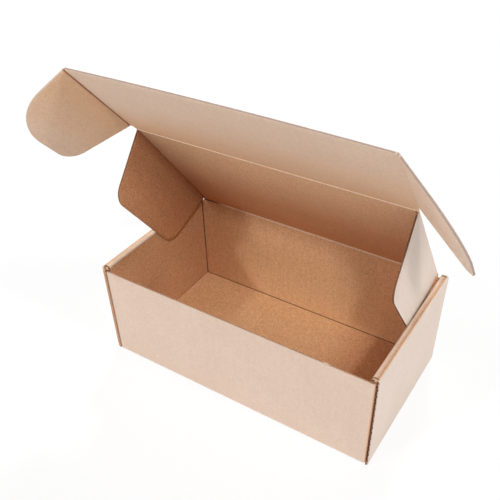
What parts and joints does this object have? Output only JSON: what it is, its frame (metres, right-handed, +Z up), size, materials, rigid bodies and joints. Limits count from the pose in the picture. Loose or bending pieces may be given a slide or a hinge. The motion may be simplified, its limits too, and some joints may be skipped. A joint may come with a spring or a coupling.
{
  "type": "corrugated mailer box",
  "caption": "Die-cut corrugated cardboard mailer box with roll-over side walls and a hinged lid, standing part open, with dust flaps and a tuck flap with rounded ears.",
  "frame": {"origin": "middle of the base's underside, on the surface the box stands on", "axes": "+X along the front to the right seen from the front, +Y to the back where the lid hinges, +Z up"},
  "size_m": [0.3228, 0.1518, 0.2631],
  "materials": {
    "board": "matte kraft liner, paler outside"
  },
  "bodies": {
    "tray": {"tray": "board"},
    "lid": {"lid": "board"},
    "left_dust_flap": {"left_dust_flap": "board"},
    "right_dust_flap": {"right_dust_flap": "board"},
    "tuck_flap": {"tuck_flap": "board"},
    "left_ear": {"left_ear": "board"},
    "right_ear": {"right_ear": "board"}
  },
  "joints": [
    {"name": "lid_hinge", "type": "hinge", "parent": "tray", "child": "lid", "pos_m": [0, 0.066, 0.092], "axis": [-1, 0, 0], "range_deg": [-53, 127]},
    {"name": "tuck_fold", "type": "hinge", "parent": "lid", "child": "tuck_flap", "pos_m": [0, -0.01193, 0.19542], "axis": [-1, 0, 0], "range_deg": [-85.75, 4.25]},
    {"name": "left_ear_fold", "type": "hinge", "parent": "tuck_flap", "child": "left_ear", "pos_m": [-0.1175, -0.01193, 0.19542], "axis": [0, 0.6593, -0.7518], "range_deg": [-42.5, 47.5]},
    {"name": "right_ear_fold", "type": "hinge", "parent": "tuck_flap", "child": "right_ear", "pos_m": [0.1175, -0.01193, 0.19542], "axis": [0, -0.6593, 0.7518], "range_deg": [-55, 35]},
    {"name": "left_dust_fold", "type": "hinge", "parent": "lid", "child": "left_dust_flap", "pos_m": [-0.11423, 0.0652, 0.0914], "axis": [0, 0.6018, -0.7986], "range_deg": [-87.4, 0]},
    {"name": "right_dust_fold", "type": "hinge", "parent": "lid", "child": "right_dust_flap", "pos_m": [0.11423, 0.0652, 0.0914], "axis": [0, -0.6018, 0.7986], "range_deg": [-87.4, 0]}
  ]
}
